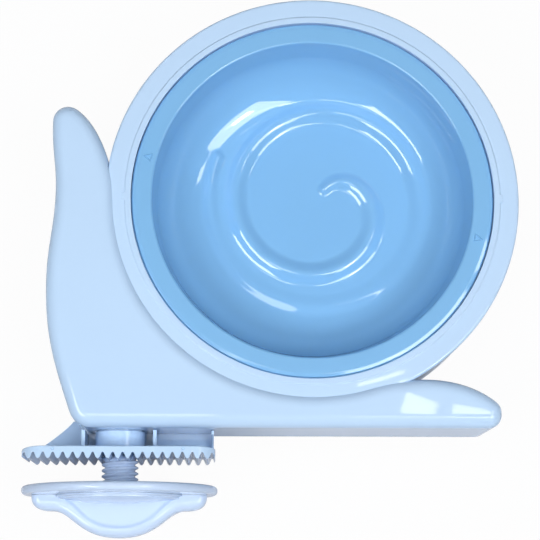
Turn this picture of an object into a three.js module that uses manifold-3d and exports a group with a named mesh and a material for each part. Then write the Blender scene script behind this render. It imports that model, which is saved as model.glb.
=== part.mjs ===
// A pet bowl that hangs on a cage: a snail-shaped holder, a twist-lock bowl and a screw clamp.
// Millimetres, +Z up. The origin lies on the screw's axis, in the plane of the jaw's tooth tips.
// +Y points away from the cage and +X along the tail of the snail.
import * as THREE from 'three';
import { mergeVertices } from 'three/addons/utils/BufferGeometryUtils.js';
import Module from 'manifold-3d';

const wasm = await Module();
wasm.setup();

// Clearances
const JOINT_GAP = 0.3; // between fixed pieces that touch
const RUN_GAP = 0.3; // between pieces that turn or slide on each other
const RIM_GAP = 0.5; // round the bowl's rim
const WEB_GAP = 0.4; // jaw's web to body

// Holder
const AXIS_HEIGHT = 20.5; // screw axis above the underside
const WALL = 2.4; // body, ring and jaw
const BODY_RISE = 2.2; // body's top above the ring's
const BODY_EDGE = 5; // rounding of the body's top edge
const LIP_WIDTH = 2.9; // body's edge over the ring
const LIP_START = 3.5; // where that edge has its full width, below the ring's centre
const LIP_RUN = 13; // how far before the tail it starts to narrow, in degrees
const RING_WIDTH = 10; // from the seat to the outer wall
const RING_HEIGHT = 41;
const RING_EDGE = 1.2; // rounding of the ring's outer top edge
const RING_LEFT = -6.5; // where the ring comes closest to the neck
const RING_SETBACK = 9.15; // body material in front of the ring
const NOTCH_RISE = 14.7; // where neck and ring part, above the ring's centre
const NECK_X = -26.5;
const NECK_RISE = 3.6; // of the narrowest place of the neck, above the ring's centre
const HEAD_X = -28.2;
const HEAD_RISE = 37.3; // top of the head, above the ring's centre
const HEAD_ROUND = 6.1;
const HEAD_SIDE = 2.7; // straight side below the head's rounding
const HEAD_SLOPE = 55; // where that rounding ends, in degrees
const BELLY_X = -29.5;
const BELLY_Y = 70;
const CORNER_X = -17.1; // front corner of the body
const CORNER_CUT = 7;
const CORNER_SLOPE = 109; // direction of the side above that corner, in degrees
const TAIL_TOP = 19.15; // where ring and tail part, above the front of the body
const TAIL_SLOPE = 6.6; // direction of the tail's back there, in degrees
const TAIL_REACH = 74; // from the ring's centre to the tip
const TAIL_CORNER = 5.6;
const TAIL_END = 60; // where the rounding of the tip starts, in degrees
const CURVE_PULL = 0.4; // length of the handles of these curves, as a share of their span
const RIB = 1.8; // ribs in the body's hollow
const RIB_DEPTH = 20;
const CROSS_RIBS = [-57.7, -27.7, 12]; // ribs across the body, above the ring's centre
const FRONT_RIBS = [-36, 0]; // ribs along the front, from the ring's centre

// Ring seat and twist lock
const SHELF_THICKNESS = 2.4;
const SHELF_WIDTH = 4.5;
const SEAT_BEVEL = 2; // sloping step round the seat
const SEAT_BEVEL_DEPTH = 0.8;
const RING_SKIRT = 22; // inner wall of the ring, below the top
const LUGS = 3;
const LUG_ANGLE = 10; // width of a lug in degrees
const LUG_THICKNESS = 2.2;
const LUG_OVERLAP = 2.7; // how far a lug reaches under the shelf
const NOTCH_SPARE = 1.5; // extra width of a notch at each side, in degrees
const LOCK_TURN = 14; // degrees from locked to free
const MARK_WIDTH = 3.2; // index marks on the ring
const MARK_DEPTH = 1.4;
const MARK_ROOT = 0.5;

// Bowl
const WELL_RADIUS = 64.6;
const RIM_WIDTH = 7.9;
const RIM_THICKNESS = 2.6;
const RIM_SINK = 0.3; // below the top of the ring
const RIM_EDGE = 0.8;
const BOWL_WALL = 2.2;
const BOWL_DEPTH = 30.2;
const BOWL_DRAFT = 10; // slope of the side wall in degrees
const BOWL_FILLET = 15;
const FOOT_SETBACK = 2.3; // in from the edge of the flat floor
const FOOT_WIDTH = 2.5;
const FOOT_HEIGHT = 3;

// Spiral bead on the bowl's floor
const BEAD_WIDTH = 5.8;
const BEAD_HEIGHT = 2.8;
const BEAD_ROOT = 0.6; // how far it runs into the floor
const SPIRAL_X = 4.7; // its middle, from the bowl's axis
const SPIRAL_Y = 4.8;
const SPIRAL_START = 72; // direction of its inner end, in degrees
const SPIRAL_TURN = 636; // clockwise, in degrees
const SPIRAL_INNER = 6.1;
const SPIRAL_OPENING_TURN = 100; // quick growth at first, in degrees
const SPIRAL_PITCH = 8.8; // steady growth in each turn
const SPIRAL_SETBACK = 0.1; // its last radius, below that of the flat floor

// Clamp jaw
const TEETH = 19;
const TOOTH_PITCH = 3.87;
const TOOTH_DEPTH = 3;
const PLATE_THICKNESS = 2; // behind the grooves
const PLATE_MARGIN = 1.23; // beyond the last groove at each end
const PLATE_CORNER = 10;
const WEB_DEPTH = 6.95; // from the plate back to the body
const WEB_HEIGHT = 8.6; // underside of the web above the underside of the holder
const WEB_FLARE_INSET = 3.5; // left end of the web, from the plate's end
const WEB_SIDE_INSET = 0.6; // right end of the web, from the plate's end
const WEB_TIP_OUT = 2.5; // upper end of the web's flared edge, from the body's front corner
const WEB_TIP_RISE = 4.9;
const WEB_BEND_X = 3; // bend of that edge, from its upper end
const WEB_BEND_Y = 4;
const PLATE_ROOT = 1; // how far web and ribs run into the plate
const JAW_RIB = 1.5;
const JAW_RIB_X = 14.1;
const JAW_RIB_TOP = 12; // above the screw axis
const GUSSET_TOP = 9;
const GUSSET_FOOT = 1.5; // height of its low end
const GUSSET_INSET = 0.2;
const RIB_LIFT = 0.6; // ends of the ribs above the underside
const SPIGOT_WALL = 1.6; // end of the boss that goes through the body's wall
const BOSS_SHOULDER = 0.8;
const FLANGE_THICKNESS = 2; // rear flange below the web, which carries the pins

// Staked pins
const PIN_RADIUS = 2.1;
const PIN_HEAD_RADIUS = 3.4;
const PIN_HEAD = 1.6;
const PIN_ROOT = 0.8; // how far a pin runs into its own wall
const RING_PIN_ANGLES = [190, 213, 236]; // degrees round the ring
const TAIL_PIN_TURN = 5.5; // pin beside the tail, before the tail's start, in degrees
const RING_PIN_Z = -4;
const JAW_PINS = 3;
const JAW_PIN_INSET = 5; // last pin, from the end of the rear flange
const JAW_PIN_SPARE = 3; // head of the first pin, from the body's side wall
const JAW_PIN_RISE = 4.4; // above the underside

// Screw, disc and knob
const SCREW_RADIUS = 7.3;
const SCREW_CHAMFER = 1.2;
const SCREW_INSIDE = 9; // reaches this far into the body
const NECK_RADIUS = 5; // plain neck that carries the disc
const TANG_THICKNESS = 6; // flats that drive the screw
const TANG_LENGTH = 8;
const CLAMP_GAP = 9.7; // tooth tips to disc
const DISC_RADIUS = 39;
const DISC_THICKNESS = 3.5;
const DISC_EDGE = 1.5;
const COUNTERBORE = 1; // takes the screw's shoulder
const HUB_RADIUS = 24.5;
const HUB_THICKNESS = 3.2;
const HUB_EDGE = 1.2;
const WING_SPAN = 34.8; // half of the grip's length
const WING_END = 6.2; // height of the grip at its ends
const WING_HEIGHT = 16.8; // height of the grip in its middle
const WING_THICKNESS = 12;
const WING_EDGE = 3.4;
const WING_BORDER = 4; // raised border round the grip's faces
const WING_RECESS = 1.2;
const LOBE_PLACE = 0.76; // where the end lobes reach farthest, as a share of the half length
const LOBE_DROP = 0.75; // handles of a lobe's outer curve, as shares of its height and of its width
const LOBE_TURN = 0.67;
const HUMP_FOOT = 0.7; // handles of the hump's curve, as shares of the lobe's place
const HUMP_CROWN = 0.62;

// Facets
const ROUND = 64;
const SMALL_ROUND = 32;
const PIN_SIDES = 10;
const CURVE_STEPS = 9;
const SHORTEST_FACET = 0.8;
const LEAST_FLAT = 0.4; // left between roundings
const LEAST_EDGE = 0.6; // rounding inside a hollow
const OVERCUT = 1; // cuts run on past the faces that they open

// Levels and places that follow from these
const BOTTOM = -AXIS_HEIGHT;
const RING_TOP = BOTTOM + RING_HEIGHT;
const BODY_TOP = RING_TOP + BODY_RISE;
const PLATE_BACK = TOOTH_DEPTH + PLATE_THICKNESS;
const BODY_FRONT = PLATE_BACK + WEB_DEPTH + JOINT_GAP;
const JAW_BACK = BODY_FRONT - JOINT_GAP;
const RIM_RADIUS = WELL_RADIUS + RIM_WIDTH;
const SEAT_RADIUS = RIM_RADIUS + RIM_GAP;
const RING_RADIUS = SEAT_RADIUS + RING_WIDTH;
const RING_X = RING_LEFT + RING_RADIUS;
const RING_Y = BODY_FRONT + RING_SETBACK + RING_RADIUS;
const HOLLOW_RADIUS = RING_RADIUS + JOINT_GAP;
const LIP_RADIUS = RING_RADIUS - LIP_WIDTH;
const NOTCH_ANGLE = Math.PI - Math.asin(NOTCH_RISE / HOLLOW_RADIUS);
const TAIL_ANGLE = 2 * Math.PI - Math.asin((RING_Y - BODY_FRONT - TAIL_TOP) / HOLLOW_RADIUS);
const RIM_TOP = RING_TOP - RIM_SINK;
const SHELF_TOP = RIM_TOP - RIM_THICKNESS - RUN_GAP;
const SHELF_BOTTOM = SHELF_TOP - SHELF_THICKNESS;
const SHELF_RADIUS = SEAT_RADIUS - SHELF_WIDTH;
const FLOOR = RIM_TOP - BOWL_DEPTH;
const LUG_RADIUS = SHELF_RADIUS + LUG_OVERLAP;
const TOOTH_SIDE = (TEETH * TOOTH_PITCH) / 2;
const PLATE_SIDE = TOOTH_SIDE + PLATE_MARGIN;
const WEB_SIDE = PLATE_SIDE - WEB_SIDE_INSET;
const WEB_TOP = BOTTOM + WEB_HEIGHT + WALL;
const SPIGOT_RADIUS = SCREW_RADIUS + RUN_GAP + SPIGOT_WALL;
const FLANGE_LEFT = -JAW_RIB_X - JAW_RIB / 2;
const FLANGE_RIGHT = WEB_SIDE - JAW_RIB;
const DISC_FRONT = -CLAMP_GAP;
const DISC_BACK = DISC_FRONT - DISC_THICKNESS;
const HUB_FRONT = DISC_BACK - RUN_GAP;
const HUB_BACK = HUB_FRONT - HUB_THICKNESS;
const TANG_END = HUB_FRONT - TANG_LENGTH;
const SHOULDER = DISC_FRONT - COUNTERBORE + RUN_GAP;
const FAR = 400; // longer than the object, for cutting tools

const rad = THREE.MathUtils.degToRad;

// Solids from closed meshes, and meshes from solids
function solidOf(geometry) {
  const bare = geometry.clone();
  bare.deleteAttribute('normal');
  bare.deleteAttribute('uv');
  const merged = mergeVertices(bare, 1e-4);
  const index = merged.index.array;
  const triangles = [];
  for (let i = 0; i < index.length; i += 3) {
    const [a, b, c] = [index[i], index[i + 1], index[i + 2]];
    if (a !== b && b !== c && c !== a) triangles.push(a, b, c);
  }
  const vertProperties = merged.attributes.position.array;
  const triVerts = new Uint32Array(triangles);
  return new wasm.Manifold(new wasm.Mesh({ numProp: 3, vertProperties, triVerts }));
}

function geometryOf(solid) {
  const mesh = solid.getMesh();
  const geometry = new THREE.BufferGeometry();
  geometry.setAttribute('position', new THREE.BufferAttribute(mesh.vertProperties, 3));
  geometry.setIndex(new THREE.BufferAttribute(mesh.triVerts, 1));
  geometry.computeVertexNormals();
  return geometry;
}

function joined(solids) {
  return solids.reduce((whole, solid) => whole.add(solid));
}

function box(low, high) {
  const size = high.map((value, i) => value - low[i]);
  const middle = high.map((value, i) => (value + low[i]) / 2);
  return solidOf(new THREE.BoxGeometry(...size).translate(...middle));
}

// A cylinder along Y
function rod(radius, from, to, sides = SMALL_ROUND) {
  const geometry = new THREE.CylinderGeometry(radius, radius, to - from, sides);
  return solidOf(geometry.translate(0, (from + to) / 2, 0));
}

// The same outline without points that lie closer together than a facet needs
function spaced(shape) {
  const kept = [];
  for (const next of shape.getPoints(CURVE_STEPS)) {
    const last = kept[kept.length - 1];
    if (!last || last.distanceTo(next) > SHORTEST_FACET) kept.push(next);
  }
  if (kept[0].distanceTo(kept[kept.length - 1]) < SHORTEST_FACET) kept.pop();
  return new THREE.Shape(kept);
}

// A flat shape in X and Y that stands from one height to another
function prism(shape, bottom, top) {
  const options = { depth: top - bottom, bevelEnabled: false, curveSegments: CURVE_STEPS };
  return solidOf(new THREE.ExtrudeGeometry(shape, options).translate(0, 0, bottom));
}

// The same, with its top edge rounded and its outline drawn in by an inset
function roundedSlab(shape, bottom, top, edge, inset) {
  const geometry = new THREE.ExtrudeGeometry(shape, {
    depth: top - edge - bottom + OVERCUT,
    bevelSize: edge,
    bevelThickness: edge,
    bevelOffset: -edge - inset,
    bevelSegments: 3,
    curveSegments: CURVE_STEPS,
  });
  return solidOf(geometry.translate(0, 0, bottom - OVERCUT));
}

function turned(points, sides = ROUND) {
  return new THREE.LatheGeometry(points, sides);
}

function point(radius, height) {
  return new THREE.Vector2(radius, height);
}

// Points of an arc in a turned profile, with angles in degrees
function arc(radius, height, size, from, to, steps) {
  const points = [];
  for (let i = 0; i <= steps; i++) {
    const angle = rad(from + ((to - from) * i) / steps);
    points.push(point(radius + size * Math.cos(angle), height + size * Math.sin(angle)));
  }
  return points;
}

// A ring-shaped piece of pie about the Z axis
function sector(inner, outer, middle, width, bottom, top) {
  const from = rad(middle - width / 2);
  const to = rad(middle + width / 2);
  const shape = new THREE.Shape();
  shape.absarc(0, 0, outer, from, to, false);
  shape.absarc(0, 0, inner, to, from, true);
  const options = { depth: top - bottom, bevelEnabled: false, curveSegments: 3 };
  return solidOf(new THREE.ExtrudeGeometry(shape, options).translate(0, 0, bottom));
}

// A pin with a melted head, from a wall's face through the next wall, and the hole that takes it
function stakedPin(start, direction) {
  const neck = JOINT_GAP + WALL + JOINT_GAP;
  const profile = [
    point(0, -PIN_ROOT),
    point(PIN_RADIUS, -PIN_ROOT),
    point(PIN_RADIUS, neck),
    point(PIN_HEAD_RADIUS, neck),
    point(PIN_HEAD_RADIUS - PIN_HEAD / 2, neck + PIN_HEAD),
    point(0, neck + PIN_HEAD),
  ];
  return alongAxis(solidOf(turned(profile, PIN_SIDES)), start, direction);
}

function pinHole(start, direction) {
  const hole = rod(PIN_RADIUS + JOINT_GAP, -PIN_ROOT, WALL + 2 * PIN_ROOT, PIN_SIDES);
  return alongAxis(hole, start, direction);
}

// A solid made along Y from the origin, moved to a place and a direction
function alongAxis(solid, start, direction) {
  const turn = new THREE.Quaternion().setFromUnitVectors(new THREE.Vector3(0, 1, 0), direction);
  const matrix = new THREE.Matrix4().compose(start, turn, new THREE.Vector3(1, 1, 1));
  return solidOf(geometryOf(solid).applyMatrix4(matrix));
}

function ringPinPlaces() {
  const beside = THREE.MathUtils.radToDeg(TAIL_ANGLE) - TAIL_PIN_TURN;
  return [...RING_PIN_ANGLES, beside].map((angle) => {
    const direction = new THREE.Vector3(Math.cos(rad(angle)), Math.sin(rad(angle)), 0);
    const start = direction.clone().multiplyScalar(RING_RADIUS);
    start.z = RING_PIN_Z;
    return { start, direction };
  });
}

function jawPinPlaces() {
  const direction = new THREE.Vector3(0, 1, 0);
  const first = CORNER_X + WALL + JAW_PIN_SPARE + PIN_HEAD_RADIUS;
  const spacing = (FLANGE_RIGHT - JAW_PIN_INSET - first) / (JAW_PINS - 1);
  return Array.from({ length: JAW_PINS }, (unused, i) => {
    return { start: new THREE.Vector3(first + i * spacing, JAW_BACK, BOTTOM + JAW_PIN_RISE), direction };
  });
}

// A curve on to an end point, with its directions there and at its start in degrees
function curveTo(shape, from, end, to) {
  const start = shape.currentPoint.clone();
  const pull = CURVE_PULL * start.distanceTo(end);
  const leave = new THREE.Vector2(Math.cos(rad(from)), Math.sin(rad(from))).multiplyScalar(pull).add(start);
  const reach = new THREE.Vector2(Math.cos(rad(to)), Math.sin(rad(to))).multiplyScalar(-pull).add(end);
  shape.bezierCurveTo(leave.x, leave.y, reach.x, reach.y, end.x, end.y);
}

// Plan of the snail: front corner, belly, neck, head, the lip over the ring, tail
function bodyOutline() {
  const up = 90;
  const side = rad(CORNER_SLOPE);
  const cornerX = CORNER_X + CORNER_CUT * Math.cos(side);
  const cornerY = BODY_FRONT + CORNER_CUT * Math.sin(side);
  const headX = HEAD_X + HEAD_ROUND;
  const headY = RING_Y + HEAD_RISE - HEAD_ROUND;
  const notchX = RING_X + HOLLOW_RADIUS * Math.cos(NOTCH_ANGLE);
  const notch = new THREE.Vector2(notchX, RING_Y + NOTCH_RISE);
  const tipX = RING_X + TAIL_REACH - TAIL_CORNER;
  const tipY = BODY_FRONT + TAIL_CORNER;
  const tip = rad(TAIL_END);
  const lipFrom = Math.PI + Math.asin(LIP_START / LIP_RADIUS);
  const lipTo = TAIL_ANGLE - rad(LIP_RUN);
  const lip = new THREE.Vector2(RING_X + LIP_RADIUS * Math.cos(lipFrom), RING_Y - LIP_START);
  const tailX = RING_X + HOLLOW_RADIUS * Math.cos(TAIL_ANGLE);
  const tipStart = new THREE.Vector2(tipX + TAIL_CORNER * Math.cos(tip), tipY + TAIL_CORNER * Math.sin(tip));
  const shape = new THREE.Shape();
  shape.moveTo(CORNER_X + CORNER_CUT, BODY_FRONT);
  shape.quadraticCurveTo(CORNER_X, BODY_FRONT, cornerX, cornerY);
  curveTo(shape, CORNER_SLOPE, new THREE.Vector2(BELLY_X, BELLY_Y), up);
  curveTo(shape, up, new THREE.Vector2(NECK_X, RING_Y + NECK_RISE), up);
  curveTo(shape, up, new THREE.Vector2(HEAD_X, headY - HEAD_SIDE), up);
  shape.absarc(headX, headY, HEAD_ROUND, Math.PI, rad(HEAD_SLOPE), true);
  const leave = CURVE_PULL * shape.currentPoint.distanceTo(notch);
  const bendX = shape.currentPoint.x + leave * Math.sin(rad(HEAD_SLOPE));
  const bendY = shape.currentPoint.y - leave * Math.cos(rad(HEAD_SLOPE));
  shape.quadraticCurveTo(bendX, bendY, notch.x, notch.y);
  const along = Math.atan2(notch.y - bendY, notch.x - bendX);
  curveTo(shape, THREE.MathUtils.radToDeg(along), lip, THREE.MathUtils.radToDeg(lipFrom) + 90);
  shape.absarc(RING_X, RING_Y, LIP_RADIUS, lipFrom, lipTo, false);
  const tail = new THREE.Vector2(tailX, BODY_FRONT + TAIL_TOP);
  curveTo(shape, THREE.MathUtils.radToDeg(lipTo) + 90, tail, TAIL_SLOPE);
  curveTo(shape, TAIL_SLOPE, tipStart, TAIL_END - 90);
  shape.absarc(tipX, tipY, TAIL_CORNER, tip, -Math.PI / 2, true);
  return spaced(shape);
}

// Ribs that stay in the body's hollow when it is cut
function bodyRibs() {
  const low = BODY_TOP - WALL - RIB_DEPTH;
  const left = Math.min(BELLY_X, HEAD_X);
  const across = (y) => box([left, y - RIB / 2, low], [RING_X, y + RIB / 2, BODY_TOP]);
  const along = (x) => box([x - RIB / 2, BODY_FRONT, low], [x + RIB / 2, RING_Y, BODY_TOP]);
  const crossing = CROSS_RIBS.map((rise) => across(RING_Y + rise));
  const front = FRONT_RIBS.map((x) => along(RING_X + x));
  return joined([...crossing, ...front]);
}

function snailBody() {
  const outline = bodyOutline();
  const thinnest = RING_SETBACK + LIP_WIDTH;
  const roundest = Math.min(TAIL_CORNER, HEAD_ROUND, thinnest / 2) - LEAST_FLAT;
  const edge = Math.min(BODY_EDGE, roundest);
  const innerEdge = Math.max(edge - WALL, LEAST_EDGE);
  const outer = roundedSlab(outline, BOTTOM, BODY_TOP, edge, 0);
  const ground = box([-FAR, -FAR, BOTTOM - FAR], [FAR, FAR, BOTTOM]);
  const room = ringRoom(HOLLOW_RADIUS, RING_TOP + JOINT_GAP);
  const inside = roundedSlab(outline, BOTTOM, BODY_TOP - WALL, innerEdge, WALL);
  const hollow = inside.subtract(bodyRibs()).subtract(ringRoom(HOLLOW_RADIUS + WALL, BODY_TOP));
  const holes = [rod(SPIGOT_RADIUS + JOINT_GAP, JAW_BACK - OVERCUT, BODY_FRONT + WALL + OVERCUT)];
  for (const { start, direction } of jawPinPlaces()) holes.push(pinHole(start, direction));
  for (const { start, direction } of ringPinPlaces()) {
    start.add(new THREE.Vector3(RING_X, RING_Y, 0));
    holes.push(pinHole(start, direction));
  }
  return outer.subtract(ground).subtract(hollow).subtract(room).subtract(joined(holes));
}

// A round plug where the ring goes, from below the body up to some height
function ringRoom(radius, top) {
  const low = BOTTOM - 2 * OVERCUT;
  const profile = [point(0, low), point(radius, low), point(radius, top), point(0, top)];
  return solidOf(turned(profile).rotateX(Math.PI / 2).translate(RING_X, RING_Y, 0));
}

// Ring, about its own centre
function shellRing() {
  const inner = SEAT_RADIUS + WALL;
  const outerInside = RING_RADIUS - WALL;
  const profile = [
    point(RING_RADIUS, BOTTOM),
    ...arc(RING_RADIUS - RING_EDGE, RING_TOP - RING_EDGE, RING_EDGE, 0, 90, 4),
    point(SEAT_RADIUS + SEAT_BEVEL, RING_TOP),
    point(SEAT_RADIUS, RING_TOP - SEAT_BEVEL_DEPTH),
    point(SEAT_RADIUS, SHELF_TOP),
    point(SHELF_RADIUS, SHELF_TOP),
    point(SHELF_RADIUS, SHELF_BOTTOM),
    point(SEAT_RADIUS, SHELF_BOTTOM),
    point(SEAT_RADIUS, RING_TOP - RING_SKIRT),
    point(inner, RING_TOP - RING_SKIRT),
    point(inner, RING_TOP - WALL),
    point(outerInside - RING_EDGE / 2, RING_TOP - WALL),
    point(outerInside, RING_TOP - WALL - RING_EDGE / 2),
    point(outerInside, BOTTOM),
    point(RING_RADIUS, BOTTOM),
  ];
  let ring = solidOf(turned(profile).rotateX(Math.PI / 2));
  for (let i = 0; i < LUGS; i++) {
    const middle = lugDirection(i) + LOCK_TURN;
    const width = LUG_ANGLE + 2 * NOTCH_SPARE;
    const depth = [SHELF_BOTTOM - OVERCUT, SHELF_TOP + RUN_GAP / 2];
    ring = ring.subtract(sector(SHELF_RADIUS - OVERCUT, LUG_RADIUS + RUN_GAP, middle, width, ...depth));
  }
  for (const direction of [1, -1]) {
    const near = direction * (SEAT_RADIUS + SEAT_BEVEL - MARK_DEPTH);
    const far = direction * (SEAT_RADIUS + SEAT_BEVEL + MARK_ROOT);
    const low = [Math.min(near, far), -MARK_WIDTH / 2, RING_TOP - SEAT_BEVEL_DEPTH - MARK_ROOT];
    ring = ring.add(box(low, [Math.max(near, far), MARK_WIDTH / 2, RING_TOP]));
  }
  const pins = ringPinPlaces().map(({ start, direction }) => stakedPin(start, direction));
  return ring.add(joined(pins));
}

function lugDirection(i) {
  return 90 + (360 * i) / LUGS;
}

// Radius of the bowl's flat floor, where the fillet below its side wall ends
function floorRadius() {
  const slope = rad(BOWL_DRAFT);
  const filletHeight = FLOOR + BOWL_FILLET;
  return WELL_RADIUS - (RIM_TOP - RIM_EDGE - filletHeight) * Math.tan(slope) - BOWL_FILLET / Math.cos(slope);
}

// The fillet between floor and wall, moved out by an offset
function bowlWall(offset) {
  return arc(floorRadius(), FLOOR + BOWL_FILLET, BOWL_FILLET + offset, -90, -BOWL_DRAFT, 5);
}

// Half-round bead along a spiral that opens clockwise
function spiralBead() {
  const points = [];
  const steps = 40;
  const opened = (turn) => 1 - Math.exp(-turn / SPIRAL_OPENING_TURN);
  const growth = floorRadius() - SPIRAL_SETBACK - SPIRAL_INNER - (SPIRAL_PITCH * SPIRAL_TURN) / 360;
  const opening = growth / opened(SPIRAL_TURN);
  for (let i = 0; i <= steps; i++) {
    const turn = (SPIRAL_TURN * i) / steps;
    const radius = SPIRAL_INNER + opening * opened(turn) + (SPIRAL_PITCH * turn) / 360;
    const angle = rad(SPIRAL_START - turn);
    const x = SPIRAL_X + radius * Math.cos(angle);
    const y = SPIRAL_Y + radius * Math.sin(angle);
    points.push(new THREE.Vector3(x, y, FLOOR));
  }
  const path = new THREE.CatmullRomCurve3(points);
  const section = new THREE.Shape();
  section.absellipse(0, 0, BEAD_HEIGHT, BEAD_WIDTH / 2, 0, 2 * Math.PI, false);
  const options = { steps: 60, extrudePath: path, bevelEnabled: false, curveSegments: 5 };
  const tube = solidOf(new THREE.ExtrudeGeometry(section, options));
  const ends = [points[0], points[steps]].map((end) => {
    const ball = new THREE.SphereGeometry(1, 12, 8).rotateX(Math.PI / 2);
    ball.scale(BEAD_WIDTH / 2, BEAD_WIDTH / 2, BEAD_HEIGHT);
    return solidOf(ball.translate(end.x, end.y, end.z));
  });
  const below = box([-FAR, -FAR, FLOOR - FAR], [FAR, FAR, FLOOR - BEAD_ROOT]);
  return joined([tube, ...ends]).subtract(below);
}

// Bowl, about its own axis
function feedingBowl() {
  const underside = FLOOR - BOWL_WALL;
  const rimBottom = RIM_TOP - RIM_THICKNESS;
  const wallOutside = WELL_RADIUS + BOWL_WALL;
  const foot = floorRadius() - FOOT_SETBACK;
  const profile = [
    point(0, underside),
    point(foot - FOOT_WIDTH, underside),
    point(foot - FOOT_WIDTH, underside - FOOT_HEIGHT),
    point(foot, underside - FOOT_HEIGHT),
    point(foot, underside),
    ...bowlWall(BOWL_WALL),
    point(wallOutside, rimBottom),
    point(RIM_RADIUS - RIM_EDGE, rimBottom),
    point(RIM_RADIUS, rimBottom + RIM_EDGE),
    ...arc(RIM_RADIUS - RIM_EDGE, RIM_TOP - RIM_EDGE, RIM_EDGE, 0, 90, 2),
    ...arc(WELL_RADIUS + RIM_EDGE, RIM_TOP - RIM_EDGE, RIM_EDGE, 90, 180, 2),
    ...bowlWall(0).reverse(),
    point(0, FLOOR),
  ];
  const pieces = [solidOf(turned(profile).rotateX(Math.PI / 2)), spiralBead()];
  const lugTop = SHELF_BOTTOM - RUN_GAP;
  for (let i = 0; i < LUGS; i++) {
    const inner = WELL_RADIUS + BOWL_WALL / 2;
    pieces.push(sector(inner, LUG_RADIUS, lugDirection(i), LUG_ANGLE, lugTop - LUG_THICKNESS, lugTop));
  }
  return joined(pieces);
}

// Toothed plate with its grooves along Z and round corners
function toothedPlate() {
  const end = TOOTH_DEPTH * Math.max(1 - (2 * PLATE_MARGIN) / TOOTH_PITCH, 0);
  const teeth = new THREE.Shape();
  teeth.moveTo(-PLATE_SIDE, end);
  teeth.lineTo(-TOOTH_SIDE, TOOTH_DEPTH);
  for (let i = 0; i < TEETH; i++) {
    const left = i * TOOTH_PITCH - TOOTH_SIDE;
    teeth.lineTo(left + TOOTH_PITCH / 2, 0);
    teeth.lineTo(left + TOOTH_PITCH, TOOTH_DEPTH);
  }
  teeth.lineTo(PLATE_SIDE, end);
  teeth.lineTo(PLATE_SIDE, PLATE_BACK);
  teeth.lineTo(-PLATE_SIDE, PLATE_BACK);
  const top = AXIS_HEIGHT;
  const corner = PLATE_CORNER;
  const side = PLATE_SIDE;
  const face = new THREE.Shape();
  face.absarc(side - corner, top - corner, corner, 0, Math.PI / 2, false);
  face.absarc(corner - side, top - corner, corner, Math.PI / 2, Math.PI, false);
  face.absarc(corner - side, corner - top, corner, Math.PI, 1.5 * Math.PI, false);
  face.absarc(side - corner, corner - top, corner, 1.5 * Math.PI, 2 * Math.PI, false);
  const options = { depth: FAR, bevelEnabled: false, curveSegments: 4 };
  const standing = new THREE.ExtrudeGeometry(face, options).translate(0, 0, -FAR / 2);
  return prism(teeth, -AXIS_HEIGHT, AXIS_HEIGHT).intersect(solidOf(standing.rotateX(Math.PI / 2)));
}

// Web with a flared left edge, between the plate and the body
function jawWeb() {
  const into = PLATE_BACK - PLATE_ROOT;
  const flare = WEB_FLARE_INSET - PLATE_SIDE;
  const tipX = CORNER_X - WEB_TIP_OUT;
  const tipY = BODY_FRONT + WEB_TIP_RISE;
  const shape = new THREE.Shape();
  shape.moveTo(flare, into);
  shape.lineTo(flare, PLATE_BACK);
  shape.quadraticCurveTo(tipX - WEB_BEND_X, tipY - WEB_BEND_Y, tipX, tipY);
  shape.lineTo(WEB_SIDE, tipY);
  shape.lineTo(WEB_SIDE, into);
  return prism(shape, WEB_TOP - WALL, WEB_TOP).subtract(bodyClearance());
}

// Ribs and rear flange below the web
function jawComb(bottom, top) {
  const into = PLATE_BACK - PLATE_ROOT;
  const rear = JAW_BACK - FLANGE_THICKNESS;
  const half = JAW_RIB / 2;
  const shape = new THREE.Shape();
  shape.moveTo(FLANGE_LEFT, into);
  shape.lineTo(-JAW_RIB_X + half, into);
  shape.lineTo(-JAW_RIB_X + half, rear);
  shape.lineTo(JAW_RIB_X - half, rear);
  shape.lineTo(JAW_RIB_X - half, into);
  shape.lineTo(JAW_RIB_X + half, into);
  shape.lineTo(JAW_RIB_X + half, rear);
  shape.lineTo(FLANGE_RIGHT, rear);
  shape.lineTo(FLANGE_RIGHT, JAW_BACK);
  shape.lineTo(FLANGE_LEFT, JAW_BACK);
  return prism(shape, bottom, top);
}

// Curved rib at the right end of the web
function jawGusset() {
  const into = PLATE_BACK - PLATE_ROOT;
  const low = WEB_TOP - WALL / 2;
  const shape = new THREE.Shape();
  shape.moveTo(into, low);
  shape.lineTo(JAW_BACK, low);
  shape.lineTo(JAW_BACK, GUSSET_TOP);
  shape.lineTo(JAW_BACK - JAW_RIB, GUSSET_TOP);
  shape.quadraticCurveTo(PLATE_BACK + JAW_RIB, WEB_TOP, into, WEB_TOP + GUSSET_FOOT);
  const options = { depth: JAW_RIB, bevelEnabled: false, curveSegments: 6 };
  const plate = new THREE.ExtrudeGeometry(shape, options).rotateX(Math.PI / 2).rotateZ(Math.PI / 2);
  return solidOf(plate.translate(WEB_SIDE - JAW_RIB - GUSSET_INSET, 0, 0));
}

function clampJaw() {
  const into = PLATE_BACK - PLATE_ROOT;
  const webMiddle = WEB_TOP - WALL / 2;
  const spigotEnd = BODY_FRONT + WALL + JOINT_GAP;
  const pieces = [toothedPlate(), jawWeb(), jawGusset(), jawComb(BOTTOM + RIB_LIFT, webMiddle)];
  for (const x of [-JAW_RIB_X, JAW_RIB_X]) {
    pieces.push(box([x - JAW_RIB / 2, into, webMiddle], [x + JAW_RIB / 2, JAW_BACK, JAW_RIB_TOP]));
  }
  pieces.push(rod(SPIGOT_RADIUS + BOSS_SHOULDER, into, JAW_BACK));
  pieces.push(rod(SPIGOT_RADIUS, into, spigotEnd));
  for (const { start, direction } of jawPinPlaces()) pieces.push(stakedPin(start, direction));
  return joined(pieces).subtract(rod(SCREW_RADIUS + RUN_GAP, -OVERCUT, spigotEnd + OVERCUT));
}

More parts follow.
